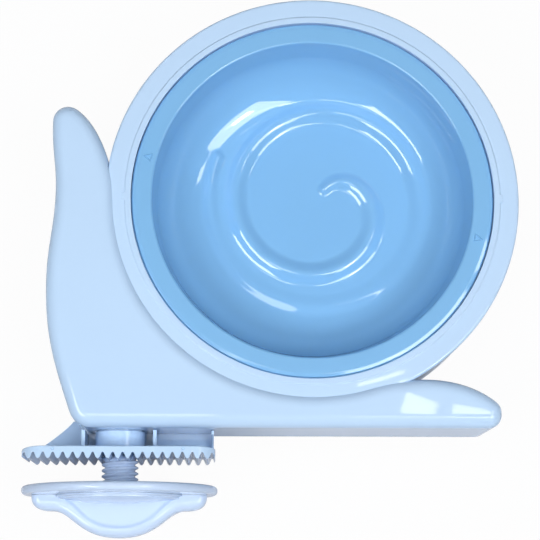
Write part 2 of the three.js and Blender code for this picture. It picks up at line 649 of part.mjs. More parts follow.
// Room for the body beside the web
function bodyClearance() {
  const grown = new THREE.ExtrudeGeometry(bodyOutline(), {
    depth: BODY_TOP - BOTTOM,
    bevelSize: 0,
    bevelThickness: OVERCUT,
    bevelOffset: WEB_GAP,
    bevelSegments: 1,
  });
  return solidOf(grown.translate(0, 0, BOTTOM));
}

// Two flats on a round bar, which drive the screw
function tang(radius, thickness, from, to) {
  const flats = box([-radius, from, -thickness / 2], [radius, to, thickness / 2]);
  return rod(radius, from - OVERCUT, to + OVERCUT).intersect(flats);
}

function clampScrew() {
  const tip = BODY_FRONT + WALL + SCREW_INSIDE;
  const profile = [
    point(0, HUB_FRONT),
    point(NECK_RADIUS, HUB_FRONT),
    point(NECK_RADIUS, SHOULDER),
    point(SCREW_RADIUS, SHOULDER),
    point(SCREW_RADIUS, tip - SCREW_CHAMFER),
    point(SCREW_RADIUS - SCREW_CHAMFER, tip),
    point(0, tip),
  ];
  const screw = solidOf(turned(profile, SMALL_ROUND));
  return screw.add(tang(NECK_RADIUS, TANG_THICKNESS, TANG_END, HUB_FRONT + RUN_GAP));
}

function pressureDisc() {
  const hole = NECK_RADIUS + RUN_GAP;
  const bore = SCREW_RADIUS + RUN_GAP;
  const edge = Math.min(DISC_EDGE, (DISC_THICKNESS - LEAST_FLAT / 2) / 2);
  const profile = [
    point(hole, DISC_BACK),
    ...arc(DISC_RADIUS - edge, DISC_BACK + edge, edge, -90, 0, 2),
    ...arc(DISC_RADIUS - edge, DISC_FRONT - edge, edge, 0, 90, 2),
    point(bore, DISC_FRONT),
    point(bore, DISC_FRONT - COUNTERBORE),
    point(hole, DISC_FRONT - COUNTERBORE),
    point(hole, DISC_BACK),
  ];
  return solidOf(turned(profile));
}

// Outline of the grip: a hump between two end lobes, run on past the disc's side by some spare height
function wingOutline(spare) {
  const front = HUB_FRONT;
  const end = front - WING_END;
  const apex = front - WING_HEIGHT;
  const lobe = WING_SPAN * LOBE_PLACE;
  const shape = new THREE.Shape();
  shape.moveTo(-WING_SPAN, front + spare);
  shape.lineTo(-WING_SPAN, front);
  const drop = front - WING_END * LOBE_DROP;
  const turn = lobe + (WING_SPAN - lobe) * LOBE_TURN;
  shape.bezierCurveTo(-WING_SPAN, drop, -turn, end, -lobe, end);
  shape.bezierCurveTo(-lobe * HUMP_FOOT, end, -lobe * HUMP_CROWN, apex, 0, apex);
  shape.bezierCurveTo(lobe * HUMP_CROWN, apex, lobe * HUMP_FOOT, end, lobe, end);
  shape.bezierCurveTo(turn, end, WING_SPAN, drop, WING_SPAN, front);
  shape.lineTo(WING_SPAN, front + spare);
  return shape;
}

// Recessed face of the grip, within its border
function wingFace() {
  const top = HUB_FRONT - WING_RECESS;
  const shoulder = HUB_BACK - WING_RECESS / 2;
  const reach = WING_SPAN * LOBE_PLACE - WING_BORDER;
  const low = HUB_FRONT - WING_HEIGHT + WING_BORDER;
  const shape = new THREE.Shape();
  shape.moveTo(reach, top);
  shape.lineTo(-reach, top);
  shape.lineTo(-reach, HUB_BACK);
  shape.bezierCurveTo(-reach * HUMP_FOOT, shoulder, -reach * HUMP_CROWN, low, 0, low);
  shape.bezierCurveTo(reach * HUMP_CROWN, low, reach * HUMP_FOOT, shoulder, reach, HUB_BACK);
  return shape;
}

function wingKnob() {
  const hub = [
    point(0, HUB_BACK),
    ...arc(HUB_RADIUS - HUB_EDGE, HUB_BACK + HUB_EDGE, HUB_EDGE, -90, 0, 2),
    point(HUB_RADIUS, HUB_FRONT),
    point(0, HUB_FRONT),
  ];
  const edge = Math.min(WING_EDGE, WING_THICKNESS / 2 - LEAST_FLAT);
  const grip = new THREE.ExtrudeGeometry(wingOutline(3 * edge), {
    depth: WING_THICKNESS - 2 * edge,
    bevelSize: edge,
    bevelThickness: edge,
    bevelOffset: -edge,
    bevelSegments: 3,
    curveSegments: 7,
  });
  grip.translate(0, 0, edge - WING_THICKNESS / 2);
  const ahead = box([-FAR, HUB_FRONT, -FAR], [FAR, FAR, FAR]);
  const face = WING_THICKNESS / 2 - WING_RECESS;
  const recesses = [
    prism(wingFace(), face, WING_THICKNESS),
    prism(wingFace(), -WING_THICKNESS, -face),
  ];
  const wing = solidOf(grip).subtract(joined([ahead, ...recesses]));
  const flats = TANG_THICKNESS + 2 * RUN_GAP;
  const socket = tang(NECK_RADIUS + RUN_GAP, flats, TANG_END - RUN_GAP, HUB_FRONT + OVERCUT);
  return solidOf(turned(hub)).add(wing).subtract(socket);
}

// Materials
const paleBlue = new THREE.MeshStandardMaterial({ color: 0xc5e0fe, roughness: 0.22, metalness: 0 });
const bowlBlue = new THREE.MeshStandardMaterial({ color: 0x82bef2, roughness: 0.16, metalness: 0 });
const screwBlue = new THREE.MeshStandardMaterial({ color: 0xb8d4f2, roughness: 0.35, metalness: 0 });
const knobBlue = new THREE.MeshStandardMaterial({ color: 0xcfe4fb, roughness: 0.22, metalness: 0 });

function piece(name, solid, material) {
  const mesh = new THREE.Mesh(geometryOf(solid), material);
  mesh.name = name;
  return mesh;
}

// Assembly
const product = new THREE.Group();

const seat = new THREE.Group();
seat.position.set(RING_X, RING_Y, 0);
seat.add(piece('shell_ring', shellRing(), paleBlue));
seat.add(piece('feeding_bowl', feedingBowl(), bowlBlue));

const clamp = new THREE.Group();
clamp.add(piece('clamp_screw', clampScrew(), screwBlue));
clamp.add(piece('pressure_disc', pressureDisc(), knobBlue));
clamp.add(piece('wing_knob', wingKnob(), knobBlue));

product.add(piece('snail_body', snailBody(), paleBlue));
product.add(piece('clamp_jaw', clampJaw(), paleBlue));
product.add(seat, clamp);

export default product;
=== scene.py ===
"""Looks of a pet bowl that hangs on a cage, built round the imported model.

Sizes of the pieces are in millimetres; floor, lamps and camera are in metres.
"""
import math

import bmesh
import bpy
import numpy as np
from mathutils import Matrix, Vector


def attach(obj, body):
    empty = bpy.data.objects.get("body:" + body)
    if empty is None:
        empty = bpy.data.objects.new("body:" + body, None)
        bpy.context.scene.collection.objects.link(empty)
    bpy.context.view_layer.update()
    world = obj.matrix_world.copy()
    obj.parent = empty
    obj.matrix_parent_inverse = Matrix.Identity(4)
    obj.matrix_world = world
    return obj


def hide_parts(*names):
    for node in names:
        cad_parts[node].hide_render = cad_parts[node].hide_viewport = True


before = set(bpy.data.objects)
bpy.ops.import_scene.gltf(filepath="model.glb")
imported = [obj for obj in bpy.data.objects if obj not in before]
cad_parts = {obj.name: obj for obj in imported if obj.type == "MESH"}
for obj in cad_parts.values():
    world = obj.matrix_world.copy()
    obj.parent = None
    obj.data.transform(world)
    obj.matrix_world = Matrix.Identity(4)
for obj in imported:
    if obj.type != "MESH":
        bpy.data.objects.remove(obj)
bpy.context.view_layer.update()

# Sizes that several pieces share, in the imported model's frame; a few are eased for the looks
MM = 0.001
JOINT_GAP = 0.3
BOTTOM = -20.5
RING_TOP = 20.5
BODY_TOP = 22.7
WALL = 2.4
RING_X = 76.5
RING_Y = 104.4
RING_RADIUS = 83.0
SEAT_RADIUS = 72.9
HOLLOW_RADIUS = RING_RADIUS + JOINT_GAP
LIP_RADIUS = 79.3
BODY_FRONT = 12.25
PLATE_BACK = 5.0
JAW_BACK = BODY_FRONT - JOINT_GAP
SCREW_RADIUS = 7.3
BORE_RADIUS = 7.6
SPIGOT_RADIUS = 9.2
NECK_RADIUS = 5.0
DISC_FRONT = -9.7
DISC_BACK = -13.2
HUB_FRONT = -13.25
HUB_BACK = -16.7
TANG_END = -21.5
FAR = 400.0
SAME_POINT = 0.05
SHARPEST_MITRE = 0.4
BEVEL_ANGLE = 35.0
RIB_EDGE = 0.25


# Plane figures
def unit(vectors):
    return vectors / np.maximum(np.linalg.norm(vectors, axis=-1, keepdims=True), 1e-12)


def direction(degrees):
    return np.array([math.cos(math.radians(degrees)), math.sin(math.radians(degrees))])


def arc(centre, radius, start, end, steps):
    angles = np.radians(np.linspace(start, end, steps + 1))
    return np.c_[centre[0] + radius * np.cos(angles), centre[1] + radius * np.sin(angles)]


def bezier(points, spacing):
    """Points along a curve with 3 or 4 control points."""
    points = [np.asarray(p, float) for p in points]
    span = sum(np.linalg.norm(b - a) for a, b in zip(points, points[1:]))
    t = np.linspace(0, 1, max(3, math.ceil(span / spacing)) + 1)[:, None]
    while len(points) > 1:
        points = [a * (1 - t) + b * t for a, b in zip(points, points[1:])]
    return points[0]


def chained(runs):
    """Runs of points as one closed loop, without points that lie on each other."""
    points = np.vstack(runs)
    far_on = np.linalg.norm(points - np.roll(points, 1, axis=0), axis=1) > SAME_POINT
    return points[far_on]


def anticlockwise(loop):
    x, y = loop.T
    area = np.sum(x * np.roll(y, -1) - y * np.roll(x, -1))
    return loop if area > 0 else loop[::-1].copy()


def inset(loop, amount):
    """An anticlockwise loop moved inwards, by one amount or by one for each point."""
    ahead = unit(np.roll(loop, -1, axis=0) - loop)
    behind = unit(loop - np.roll(loop, 1, axis=0))
    normal = np.c_[-ahead[:, 1], ahead[:, 0]]
    middle = unit(normal + np.c_[-behind[:, 1], behind[:, 0]])
    stretch = 1 / np.maximum(np.sum(middle * normal, axis=1), SHARPEST_MITRE)
    return loop + middle * (np.asarray(amount) * stretch)[..., None]


def filleted(corners, steps=4):
    """A closed figure of (x, y, radius) corners with its corners rounded."""
    runs = []
    count = len(corners)
    for i, (x, y, radius) in enumerate(corners):
        here = np.array([x, y], float)
        if radius <= 0:
            runs.append(here[None])
            continue
        back = unit(np.array(corners[i - 1][:2], float) - here)
        on = unit(np.array(corners[(i + 1) % count][:2], float) - here)
        half = math.acos(max(-1.0, min(1.0, float(back @ on)))) / 2
        reach = radius / math.tan(half)
        centre = here + unit(back + on) * (radius / math.sin(half))
        first = here + back * reach - centre
        last = here + on * reach - centre
        start = math.atan2(first[1], first[0])
        turn = math.atan2(first[0] * last[1] - first[1] * last[0], float(first @ last))
        angles = start + turn * np.linspace(0, 1, steps + 1)
        runs.append(centre + radius * np.c_[np.cos(angles), np.sin(angles)])
    return np.vstack(runs)


# Meshes
def mesh_object(name, vertices, faces):
    """A new object from millimetres, with its faces turned outwards."""
    mesh = bpy.data.meshes.new(name)
    mesh.from_pydata([tuple(v) for v in np.asarray(vertices, float) * MM], [], faces)
    work = bmesh.new()
    work.from_mesh(mesh)
    bmesh.ops.recalc_face_normals(work, faces=work.faces)
    work.to_mesh(mesh)
    work.free()
    made = bpy.data.objects.new(name, mesh)
    bpy.context.scene.collection.objects.link(made)
    return made


def loft(name, rings, closed=False):
    """A skin over rings of equally many points, closed by end caps or into a loop."""
    count = len(rings[0])
    vertices = np.vstack(rings)
    faces = []
    last = len(rings) if closed else len(rings) - 1
    for i in range(last):
        low = i * count
        high = ((i + 1) % len(rings)) * count
        for j in range(count):
            k = (j + 1) % count
            faces.append((low + j, low + k, high + k, high + j))
    if not closed:
        faces.append(tuple(range(count - 1, -1, -1)))
        faces.append(tuple(range((len(rings) - 1) * count, len(rings) * count)))
    return mesh_object(name, vertices, faces)


def slab(name, loop, levels):
    """A loft over one outline at several (inset, height) levels."""
    rings = []
    for amount, height in levels:
        ring = inset(loop, amount) if np.any(amount) else loop
        rings.append(np.c_[ring, np.full(len(ring), height)])
    return loft(name, rings)


def turned(name, profile, sides, along="Z"):
    """A closed profile of (radius, height) points turned about an axis; radius 0 makes a pole."""
    vertices = []
    rows = []
    for radius, height in profile:
        if radius < 1e-6:
            rows.append([len(vertices)] * sides)
            vertices.append((0.0, 0.0, height))
            continue
        rows.append(list(range(len(vertices), len(vertices) + sides)))
        for i in range(sides):
            angle = 2 * math.pi * i / sides
            vertices.append((radius * math.cos(angle), radius * math.sin(angle), height))
    faces = []
    for a, b in zip(rows, rows[1:] + rows[:1]):
        for i in range(sides):
            j = (i + 1) % sides
            corners = list(dict.fromkeys((a[i], a[j], b[j], b[i])))
            if len(corners) > 2:
                faces.append(tuple(corners))
    vertices = np.array(vertices)
    if along == "Y":
        vertices = np.c_[vertices[:, 0], vertices[:, 2], -vertices[:, 1]]
    return mesh_object(name, vertices, faces)


def prism(name, loop, low, high, edge=0.0, axes="XYZ"):
    """An outline that stands from one height to another, with rounded edges where asked."""
    loop = np.asarray(loop, float)
    count = len(loop)
    flat = np.vstack([np.c_[loop, np.full(count, low)], np.c_[loop, np.full(count, high)]])
    order = [axes.index(axis) for axis in "XYZ"]
    faces = [tuple(range(count - 1, -1, -1)), tuple(range(count, 2 * count))]
    for i in range(count):
        j = (i + 1) % count
        faces.append((i, j, count + j, count + i))
    made = mesh_object(name, flat[:, order], faces)
    if edge > 0:
        work = bmesh.new()
        work.from_mesh(made.data)
        sharp = [e for e in work.edges if e.calc_face_angle(0) > math.radians(BEVEL_ANGLE)]
        bmesh.ops.bevel(
            work, geom=sharp, offset=edge * MM, segments=3, affect="EDGES", profile=0.5)
        work.to_mesh(made.data)
        work.free()
    return made


def block(name, low, high, edge=0.0):
    corners = [(low[0], low[1]), (high[0], low[1]), (high[0], high[1]), (low[0], high[1])]
    return prism(name, corners, low[2], high[2], edge)


def placed(made, matrix):
    made.data.transform(matrix)
    return made


def at_ring(made):
    """A piece made about the origin, moved to the ring's axis."""
    return placed(made, Matrix.Translation(Vector((RING_X, RING_Y, 0)) * MM))


def combined(base, others, operation):
    """The base with other closed pieces joined to it or cut from it."""
    for other in others:
        modifier = base.modifiers.new(operation, "BOOLEAN")
        modifier.operation = operation
        modifier.solver = "MANIFOLD"
        modifier.object = other
        bpy.context.view_layer.update()
        shape = base.evaluated_get(bpy.context.evaluated_depsgraph_get())
        mesh = bpy.data.meshes.new_from_object(shape)
        base.modifiers.clear()
        base.data = mesh
        bpy.data.objects.remove(other)
    return base


def joined(base, others):
    return combined(base, others, "UNION")


def cut(base, others):
    return combined(base, others, "DIFFERENCE")


def finished(made, body, node, material, sharp=40.0):
    """A piece on its body, in its material, with clean shading across its flat faces."""
    made.name = node + "_look"
    made.data.materials.clear()
    made.data.materials.append(material)
    made.data.polygons.foreach_set("use_smooth", [True] * len(made.data.polygons))
    made.data.set_sharp_from_angle(angle=math.radians(sharp))
    weighted = made.modifiers.new("shading", "WEIGHTED_NORMAL")
    weighted.keep_sharp = True
    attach(made, body)
    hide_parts(node)
    return made


# Materials
GLOSS_SPREAD = 0.15


def plastic(name, colour, roughness, mottle, shine=0.5):
    """Glossy moulded plastic with faint flow marks, uneven gloss and a very fine skin."""
    material = bpy.data.materials.new(name)
    material.use_nodes = True
    nodes = material.node_tree.nodes
    links = material.node_tree.links
    shader = nodes["Principled BSDF"]
    shader.inputs["IOR"].default_value = 1.5
    shader.inputs["Specular IOR Level"].default_value = shine
    place = nodes.new("ShaderNodeTexCoord")
    flow = nodes.new("ShaderNodeTexNoise")
    flow.inputs["Scale"].default_value = 22.0
    flow.inputs["Detail"].default_value = 3.0
    flow.inputs["Distortion"].default_value = 0.6
    tint = nodes.new("ShaderNodeMix")
    tint.data_type = "RGBA"
    tint.inputs["A"].default_value = (*[c * (1 - mottle) for c in colour], 1)
    tint.inputs["B"].default_value = (*[min(1.0, c * (1 + mottle)) for c in colour], 1)
    links.new(place.outputs["Object"], flow.inputs["Vector"])
    links.new(flow.outputs["Fac"], tint.inputs["Factor"])
    links.new(tint.outputs["Result"], shader.inputs["Base Color"])
    gloss = nodes.new("ShaderNodeTexNoise")
    gloss.inputs["Scale"].default_value = 60.0
    gloss.inputs["Detail"].default_value = 2.0
    level = nodes.new("ShaderNodeMapRange")
    level.inputs["From Min"].default_value = 0.3
    level.inputs["From Max"].default_value = 0.7
    level.inputs["To Min"].default_value = roughness * (1 - GLOSS_SPREAD)
    level.inputs["To Max"].default_value = roughness * (1 + GLOSS_SPREAD)
    links.new(place.outputs["Object"], gloss.inputs["Vector"])
    links.new(gloss.outputs["Fac"], level.inputs["Value"])
    links.new(level.outputs["Result"], shader.inputs["Roughness"])
    skin = nodes.new("ShaderNodeTexNoise")
    skin.inputs["Scale"].default_value = 420.0
    skin.inputs["Detail"].default_value = 1.0
    bump = nodes.new("ShaderNodeBump")
    bump.inputs["Strength"].default_value = 0.006
    bump.inputs["Distance"].default_value = 0.0002
    links.new(place.outputs["Object"], skin.inputs["Vector"])
    links.new(skin.outputs["Fac"], bump.inputs["Height"])
    links.new(bump.outputs["Normal"], shader.inputs["Normal"])
    return material


holder_plastic = plastic("holder_plastic", (0.507, 0.684, 0.905), 0.025, 0.02)
bowl_plastic = plastic("bowl_plastic", (0.228, 0.493, 0.81), 0.05, 0.025, 1.0)
clamp_plastic = plastic("clamp_plastic", (0.555, 0.685, 0.89), 0.05, 0.02)


# Staked pins, which hold ring and jaw to the body
PIN_FOOT = -0.8
PIN_RADIUS = 2.1
PIN_LENGTH = 3.0
PIN_HEAD_RADIUS = 3.4
PIN_HEAD_TOP = 4.6
PIN_HOLE_RADIUS = 2.4
PIN_HOLE_END = 4.0
PIN_SIDES = 32
TAIL_TOP = 19.15
TAIL_ANGLE = 360 - math.degrees(math.asin((RING_Y - BODY_FRONT - TAIL_TOP) / HOLLOW_RADIUS))
RING_PIN_BEARINGS = (190, 213, 236, TAIL_ANGLE - 5.5)
RING_PIN_LEVEL = -4.0
JAW_PIN_PLACES = (-8.3, 11.3, 30.9)
JAW_PIN_LEVEL = -16.1


def aimed(made, start, heading):
    """A piece made along Z, turned to a heading and moved to its start."""
    turn = Vector((0, 0, 1)).rotation_difference(Vector(heading)).to_matrix().to_4x4()
    return placed(made, Matrix.Translation(Vector(start) * MM) @ turn)


def staked_pin(start, heading):
    profile = filleted([
        (0, PIN_FOOT, 0),
        (PIN_RADIUS, PIN_FOOT, 0),
        (PIN_RADIUS, PIN_LENGTH, 0),
        (PIN_HEAD_RADIUS, PIN_LENGTH, 0.3),
        (PIN_HEAD_RADIUS - 0.5, PIN_HEAD_TOP - 0.2, 0.6),
        (0, PIN_HEAD_TOP, 0),
    ])
    return aimed(turned("pin", profile, PIN_SIDES), start, heading)


def pin_hole(start, heading):
    profile = [
        (0, PIN_FOOT), (PIN_HOLE_RADIUS, PIN_FOOT),
        (PIN_HOLE_RADIUS, PIN_HOLE_END), (0, PIN_HOLE_END),
    ]
    return aimed(turned("hole", profile, PIN_SIDES), start, heading)


def ring_pins():
    places = []
    for bearing in RING_PIN_BEARINGS:
        x, y = direction(bearing)
        start = (RING_X + RING_RADIUS * x, RING_Y + RING_RADIUS * y, RING_PIN_LEVEL)
        places.append((start, (x, y, 0)))
    return places


def jaw_pins():
    return [((x, JAW_BACK, JAW_PIN_LEVEL), (0, 1, 0)) for x in JAW_PIN_PLACES]


# Snail body, with a lip over the ring
CURVE_PULL = 0.4
BODY_EDGE = 5.0
# Inset and height of the slightly rounded foot and of the straight wall
BODY_FOOT = ((0.4, BOTTOM), (0.12, BOTTOM + 0.12), (0.0, BOTTOM + 0.4), (0.0, -4.0))
NOTCH_RISE = 14.7
NOTCH_ANGLE = 180 - math.degrees(math.asin(NOTCH_RISE / HOLLOW_RADIUS))
TAIL_REACH = 74.25
TAIL_LEAN = 4
TAIL_PULL = 15
TIP_PULL = 8
TIP_ROUND = 5.3
TIP_STRAIGHT = 1.0
TIP_BEARING = 50
CROWN_BEARING = 55
BODY_RIB_HALF = 0.9
BODY_RIB_DEPTH = 20
BODY_RIBS_ACROSS = (-57.7, -27.7, 12.0)
BODY_RIBS_ALONG = (-36, 0)
SPIGOT_HOLE = 9.5
SPIGOT_HOLE_END = 15.65


def body_outline(spacing=0.8):
    def curve(start, leaving, end, arriving):
        pull = CURVE_PULL * np.linalg.norm(np.subtract(end, start))
        out = start + pull * direction(leaving)
        return bezier([start, out, end - pull * direction(arriving), end], spacing)

    middle = np.array([RING_X, RING_Y])
    front_corner = np.array([-17.1, BODY_FRONT])
    corner_cut = 7.0
    slope = 109
    side_start = front_corner + corner_cut * direction(slope)
    belly = np.array([-29.5, 70.0])
    neck = np.array([-26.5, RING_Y + 3.6])
    head_round = 6.1
    head = np.array([-28.2 + head_round, RING_Y + 37.3 - head_round])
    cheek = head + (-head_round, -2.7)
    notch = middle + HOLLOW_RADIUS * direction(NOTCH_ANGLE)
    crown = arc(head, head_round, 180, CROWN_BEARING, 14)
    reach = CURVE_PULL * np.linalg.norm(notch - crown[-1])
    bend = crown[-1] + reach * direction(CROWN_BEARING - 90)
    along = math.degrees(math.atan2(*(notch - bend)[::-1]))
    lip_drop = 3.5
    lip_from = 180 + math.degrees(math.asin(lip_drop / LIP_RADIUS))
    lip_to = TAIL_ANGLE - 13
    lip = arc(middle, LIP_RADIUS, lip_from, lip_to, 190)
    tail = middle + HOLLOW_RADIUS * direction(TAIL_ANGLE)
    low_tip = np.array([RING_X + TAIL_REACH - TIP_ROUND, BODY_FRONT + TIP_ROUND])
    tip = low_tip + (0, TIP_STRAIGHT)
    tip_start = tip + TIP_ROUND * direction(TIP_BEARING)
    tail_out = tail + TAIL_PULL * direction(TAIL_LEAN)
    tip_in = tip_start - TIP_PULL * direction(TIP_BEARING - 90)
    front_end = np.array([tip[0], BODY_FRONT])
    front_start = front_corner + (corner_cut, 0)
    return anticlockwise(chained([
        bezier([front_start, front_corner, side_start], spacing),
        curve(side_start, slope, belly, 90),
        curve(belly, 90, neck, 90),
        curve(neck, 90, cheek, 90),
        crown,
        bezier([crown[-1], bend, notch], spacing),
        curve(notch, along, lip[0], lip_from + 90),
        lip,
        curve(lip[-1], lip_to + 90, tail, TAIL_LEAN),
        bezier([tail, tail_out, tip_in, tip_start], spacing),
        arc(tip, TIP_ROUND, TIP_BEARING, 0, 8),
        arc(low_tip, TIP_ROUND, 0, -90, 12),
        bezier([front_end, (front_end + front_start) / 2, front_start], spacing),
    ]))


def rounded_levels(width, depth, top, steps=10):
    """Levels of an edge rounded from its side to its top, with a support ring on the flat."""
    levels = []
    for angle in np.radians(np.linspace(0, 90, steps + 1)):
        levels.append((width * (1 - math.cos(angle)), top - depth * (1 - math.sin(angle))))
    levels.append((width + 0.25, top))
    return levels


def ring_plug(radius, top):
    low = BOTTOM - 3
    return at_ring(turned("plug", [(0, low), (radius, low), (radius, top), (0, top)], 256))


def snail_body():
    edge = rounded_levels(BODY_EDGE, BODY_EDGE, BODY_TOP)
    body = slab("body", body_outline(), [*BODY_FOOT, *edge])
    ceiling = BODY_TOP - WALL
    below = [(WALL, BOTTOM - 2.0), (WALL, ceiling - 3.0)]
    corner = BODY_EDGE - WALL
    top = rounded_levels(corner, corner, ceiling, 4)
    room = [(WALL + amount, height) for amount, height in top]
    hollow = slab("hollow", body_outline(1.6), below + room)
    low = ceiling - BODY_RIB_DEPTH
    half = BODY_RIB_HALF
    ribs = []
    for rise in BODY_RIBS_ACROSS:
        y = RING_Y + rise
        ribs.append(block("rib", (-32, y - half, low), (RING_X, y + half, BODY_TOP), RIB_EDGE))
    for along in BODY_RIBS_ALONG:
        x = RING_X + along
        start = (x - half, BODY_FRONT, low)
        ribs.append(block("rib", start, (x + half, RING_Y, BODY_TOP), RIB_EDGE))
    hollow = cut(hollow, ribs + [ring_plug(HOLLOW_RADIUS + WALL, BODY_TOP)])
    bore = turned("bore", [
        (0, JAW_BACK - 1), (SPIGOT_HOLE, JAW_BACK - 1),
        (SPIGOT_HOLE, SPIGOT_HOLE_END), (0, SPIGOT_HOLE_END),
    ], 64, "Y")
    holes = [pin_hole(*place) for place in ring_pins() + jaw_pins()]
    seat = ring_plug(RING_RADIUS + 0.05, RING_TOP + 0.03)
    body = cut(body, [hollow, seat, bore, *holes])
    return finished(body, "holder", "snail_body", holder_plastic)


# Ring that carries the bowl
LUGS = (90, 210, 330)
LOCK_TURN = 14
SHELF_RADIUS = 68.5
SHELF_TOP = 17.3
SHELF_BOTTOM = 14.9
SEAT_LIP = 0.45
SEAT_LIP_WIDTH = 2.8
SKIRT_DEPTH = 22
NOTCH_OUTER = 71.5
NOTCH_WIDTH = 13
MARK_INNER = 73.3
MARK_OUTER = 76.4
MARK_HALF = 1.6


def sector(name, inner, outer, middle, width, low, high, edge=0.0):
    """A block between two radii of the ring, over an angle of the given width."""
    half = width / 2
    loop = np.vstack([
        arc((RING_X, RING_Y), outer, middle - half, middle + half, 6),
        arc((RING_X, RING_Y), inner, middle + half, middle - half, 6),
    ])
    return prism(name, loop, low, high, edge)


def shell_ring():
    skirt = RING_TOP - SKIRT_DEPTH
    inner = SEAT_RADIUS + WALL
    inside = RING_RADIUS - WALL
    profile = filleted([
        (RING_RADIUS, BOTTOM, 0.4),
        (RING_RADIUS, RING_TOP, 1.2),
        (SEAT_RADIUS + SEAT_LIP_WIDTH, RING_TOP, 0.3),
        (SEAT_RADIUS + SEAT_LIP_WIDTH - 0.6, RING_TOP + SEAT_LIP, 0.3),
        (SEAT_RADIUS, RING_TOP + SEAT_LIP, 0.15),
        (SEAT_RADIUS, SHELF_BOTTOM + 0.8, 0.2),
        (SEAT_RADIUS - 1.0, SHELF_BOTTOM + 0.8, 0.2),
        (SEAT_RADIUS - 1.0, SHELF_TOP, 0.2),
        (SHELF_RADIUS, SHELF_TOP, 0.4),
        (SHELF_RADIUS, SHELF_BOTTOM, 0.4),
        (SEAT_RADIUS, SHELF_BOTTOM, 0.4),
        (SEAT_RADIUS, skirt, 0.4),
        (inner, skirt, 0.4),
        (inner, RING_TOP - WALL, 0.6),
        (inside, RING_TOP - WALL, 1.0),
        (inside, BOTTOM, 0.4),
    ], 6)
    ring = at_ring(turned("ring", profile, 256))
    low, high = SHELF_BOTTOM - 1, SHELF_TOP + 0.15
    notches = []
    for middle in LUGS:
        free = middle + LOCK_TURN
        notches.append(sector("notch", SHELF_RADIUS - 1, NOTCH_OUTER, free, NOTCH_WIDTH, low, high))
    ring = cut(ring, notches)
    marks = []
    for side in (1, -1):
        left, right = sorted((RING_X + side * MARK_INNER, RING_X + side * MARK_OUTER))
        low = (left, RING_Y - MARK_HALF, RING_TOP - 1.3)
        high = (right, RING_Y + MARK_HALF, RING_TOP + SEAT_LIP - 0.02)
        marks.append(block("mark", low, high, 0.2))
    ring = joined(ring, marks + [staked_pin(*place) for place in ring_pins()])
    return finished(ring, "holder", "shell_ring", holder_plastic)


# Bowl with a spiral bead on its floor
RIM_TOP = 20.2
RIM_RADIUS = 72.3
WELL_RADIUS = 64.6
BOWL_WALL = 2.2
BOWL_FLOOR = -10.0
BOWL_FILLET = 15.0
BOWL_DRAFT = 10.0
FLOOR_RADIUS = 46.83
WELL_FILLET = 22.0
WELL_FLOOR = 40.96
RIM_DEPTH = 2.6
RIM_SLOPE_WIDTH = 1.5
RIM_SLOPE_DROP = 0.35
FLANGE_DROP = 1.5
FLANGE_WIDTH = 0.45
FOOT_HEIGHT = 3
FOOT_WIDTH = 2.5
LUG_INNER = 65.7
LUG_OUTER = 71.2
LUG_WIDTH = 10
LUG_BOTTOM = 12.4
LUG_TOP = 14.6
SPIRAL_CENTRE = (4.7, 4.8)
SPIRAL_START = 72
SPIRAL_TURN = 636
SPIRAL_EASE = 100
SPIRAL_INNER = 6.1
SPIRAL_OUTER = FLOOR_RADIUS - 0.1
SPIRAL_PITCH = 8.8
BEAD_HALF_WIDTH = 5.8
BEAD_HEIGHT = 2.25
BEAD_REACH = 56
# Share of the bead's width and of its height, by the place along the spiral
BEAD_WIDTHS = ((0, 0.58), (0.1, 1), (0.9, 0.9), (1, 0.6))
BEAD_SHARES = ((0, 0.75), (0.1, 1), (0.63, 1), (0.73, 0.32), (0.93, 0.3), (0.985, 0.8))
RIM_MARK_BEARINGS = (-13.8, 166.1)
RIM_MARK_RADIUS = 67.9
RIM_MARK_TIP = 1.9
RIM_MARK_BASE = 1.1
RIM_MARK_HALF = 1.5
BAR_HALF = 0.45
BAR_RUN = 0.2
BAR_TOP = 0.4


def spiral(steps=420):
    """Middle line of the bead: it opens quickly at first, then by an even pitch."""
    turn = np.linspace(0, SPIRAL_TURN, steps + 1)
    opened = (1 - np.exp(-turn / SPIRAL_EASE)) / (1 - math.exp(-SPIRAL_TURN / SPIRAL_EASE))
    spread = SPIRAL_OUTER - SPIRAL_INNER - SPIRAL_PITCH * SPIRAL_TURN / 360
    radius = SPIRAL_INNER + spread * opened + SPIRAL_PITCH * turn / 360
    angle = np.radians(SPIRAL_START - turn)
    x, y = SPIRAL_CENTRE
    return np.c_[x + radius * np.cos(angle), y + radius * np.sin(angle)]


def nearest(path, points):
    """Distance of points from a path, and how far along the path their nearest place lies."""
    best = np.full(len(points), 1e9)
    place = np.zeros(len(points))
    for i in range(len(path) - 1):
        step = path[i + 1] - path[i]
        t = np.clip((points - path[i]) @ step / (step @ step), 0, 1)
        away = np.linalg.norm(points - path[i] - t[:, None] * step, axis=1)
        nearer = away < best
        best[nearer] = away[nearer]
        place[nearer] = i + t[nearer]
    return best, place / (len(path) - 1)


def bead_height(points):
    """Height of the soft bead over the floor: slender at its ends, low along its outer turn."""
    away, place = nearest(spiral(), points)
    width = np.interp(place, *zip(*BEAD_WIDTHS))
    share = np.interp(place, *zip(*BEAD_SHARES))
    across = np.clip(away / (BEAD_HALF_WIDTH * width), 0, 1)
    return BEAD_HEIGHT * share * (0.5 + 0.5 * np.cos(np.pi * across))


